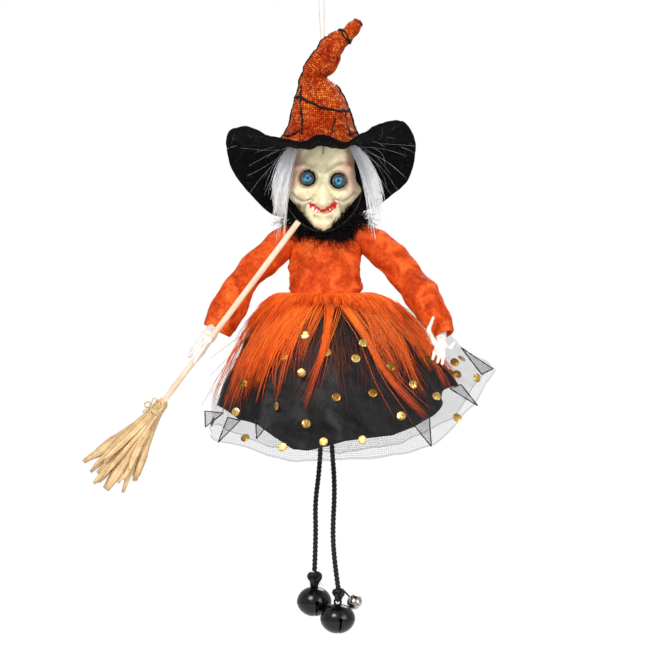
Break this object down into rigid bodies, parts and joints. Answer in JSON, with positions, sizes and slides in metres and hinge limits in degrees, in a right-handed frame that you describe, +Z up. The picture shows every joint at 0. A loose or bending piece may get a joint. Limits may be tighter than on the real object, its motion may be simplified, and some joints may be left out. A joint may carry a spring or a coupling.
{
  "type": "hanging witch ornament",
  "caption": "Hanging cloth witch ornament with posable wired arms, turning head, straw broom, flared skirt and cord legs that end in jingle bells.",
  "frame": {"origin": "inside of the top of the hanging thread's loop, where a hook holds it", "axes": "+Z up along the thread, -Y the figure's front, +X the figure's left hand side"},
  "size_m": [0.2136, 0.1098, 0.3411],
  "materials": {
    "thread": "matte",
    "hat_cloth": "matte",
    "black_lace": "matte",
    "black_felt": "matte",
    "fibre_fill": "matte",
    "mask": "satin",
    "eye_bead": "gloss",
    "neck_foam": "matte",
    "white_hair": "satin",
    "black_cord": "matte",
    "raw_wood": "matte",
    "wire": "satin",
    "orange_velvet": "matte",
    "black_yarn": "matte",
    "black_satin": "satin",
    "black_tulle": "matte",
    "gold_foil": "satin",
    "orange_fur": "satin",
    "straw": "matte",
    "string": "matte",
    "hand_plastic": "satin",
    "leg_cord": "matte",
    "black_enamel": "satin",
    "nickel": "gloss",
    "steel_ball": "satin"
  },
  "bodies": {
    "hanging_thread": {"hanging_loop": "thread", "loop_knot": "thread"},
    "head": {"hat_cone": "hat_cloth", "hat_web_lace": "black_lace", "hat_stuffing": "fibre_fill", "hat_brim": "black_felt", "face_shell": "mask", "head_back": "mask", "left_eye": "eye_bead", "right_eye": "eye_bead", "neck_socket": "neck_foam", "hair_left": "white_hair", "hair_right": "white_hair", "hat_elastic": "black_cord"},
    "torso": {"neck_dowel": "raw_wood", "shoulder_wire": "wire", "bodice": "orange_velvet", "torso_stuffing": "fibre_fill", "collar_ruff": "black_yarn", "waist_elastic": "black_cord", "skirt_satin": "black_satin", "skirt_tulle": "black_tulle", "fur_trim": "orange_fur", "leg_anchor_tab": "black_felt"},
    "small_bell": {"small_bell_cord": "black_cord", "small_bell_shell": "nickel", "small_bell_shank": "nickel"},
    "small_clapper": {"small_bell_clapper": "steel_ball"},
    "upper_arm_left": {"upper_arm_wire_left": "wire", "sleeve_upper_left": "orange_velvet"},
    "forearm_left": {"forearm_wire_left": "wire", "sleeve_lower_left": "orange_velvet", "hand_left": "hand_plastic"},
    "leg_left": {"leg_cord_left": "leg_cord", "leg_knot_left": "leg_cord"},
    "bell_left": {"bell_left_shell": "black_enamel", "bell_left_shank": "black_enamel"},
    "clapper_left": {"bell_left_clapper": "steel_ball"},
    "upper_arm_right": {"upper_arm_wire_right": "wire", "sleeve_upper_right": "orange_velvet"},
    "forearm_right": {"forearm_wire_right": "wire", "sleeve_lower_right": "orange_velvet", "hand_right": "hand_plastic", "broom_handle": "raw_wood", "broom_straw": "straw", "broom_tie": "string"},
    "leg_right": {"leg_cord_right": "leg_cord", "leg_knot_right": "leg_cord"},
    "bell_right": {"bell_right_shell": "black_enamel", "bell_right_shank": "black_enamel"},
    "clapper_right": {"bell_right_clapper": "steel_ball"}
  },
  "joints": [
    {"name": "figure_turn", "type": "hinge", "parent": "hanging_thread", "child": "head", "pos_m": [0.0008, 0, -0.035], "axis": [0, 0, 1], "range_deg": [-180, 180]},
    {"name": "neck_turn", "type": "hinge", "parent": "head", "child": "torso", "pos_m": [0.001, 0.002, -0.12], "axis": [0, 0, 1], "range_deg": [-30, 30]},
    {"name": "shoulder_left", "type": "hinge", "parent": "torso", "child": "upper_arm_left", "pos_m": [0.0265, -0.001, -0.1375], "axis": [0, -1, 0], "range_deg": [0, 60]},
    {"name": "elbow_left", "type": "hinge", "parent": "upper_arm_left", "child": "forearm_left", "pos_m": [0.0468, -0.008, -0.1592], "axis": [0, -1, 0], "range_deg": [0, 45]},
    {"name": "hip_left", "type": "hinge", "parent": "torso", "child": "leg_left", "pos_m": [0.0046, -0.0057, -0.1716], "axis": [0, -1, 0], "range_deg": [0, 30]},
    {"name": "bell_left_swing", "type": "hinge", "parent": "leg_left", "child": "bell_left", "pos_m": [0.0087, -0.0057, -0.3243], "axis": [-1, 0, 0], "range_deg": [0, 20]},
    {"name": "bell_left_clapper_rattle", "type": "slide", "parent": "bell_left", "child": "clapper_left", "axis": [0, 0, 1], "range_m": [0, 0.006]},
    {"name": "shoulder_right", "type": "hinge", "parent": "torso", "child": "upper_arm_right", "pos_m": [-0.0205, -0.001, -0.1375], "axis": [0, 1, 0], "range_deg": [0, 60]},
    {"name": "elbow_right", "type": "hinge", "parent": "upper_arm_right", "child": "forearm_right", "pos_m": [-0.0406, -0.003, -0.1592], "axis": [0, 1, 0], "range_deg": [0, 45]},
    {"name": "hip_right", "type": "hinge", "parent": "torso", "child": "leg_right", "pos_m": [0.0008, 0.0057, -0.1716], "axis": [0, 1, 0], "range_deg": [0, 30]},
    {"name": "bell_right_swing", "type": "hinge", "parent": "leg_right", "child": "bell_right", "pos_m": [-0.0035, 0.0057, -0.3167], "axis": [1, 0, 0], "range_deg": [0, 20]},
    {"name": "bell_right_clapper_rattle", "type": "slide", "parent": "bell_right", "child": "clapper_right", "axis": [0, 0, 1], "range_m": [0, 0.006]},
    {"name": "small_bell_swing", "type": "hinge", "parent": "leg_left", "child": "small_bell", "pos_m": [0.0112, -0.0039, -0.318], "axis": [0, -1, 0], "range_deg": [0, 50]},
    {"name": "small_bell_clapper_rattle", "type": "slide", "parent": "small_bell", "child": "small_clapper", "axis": [-0.5699, -0.4871, 0.6618], "range_m": [0, 0.0025]}
  ]
}
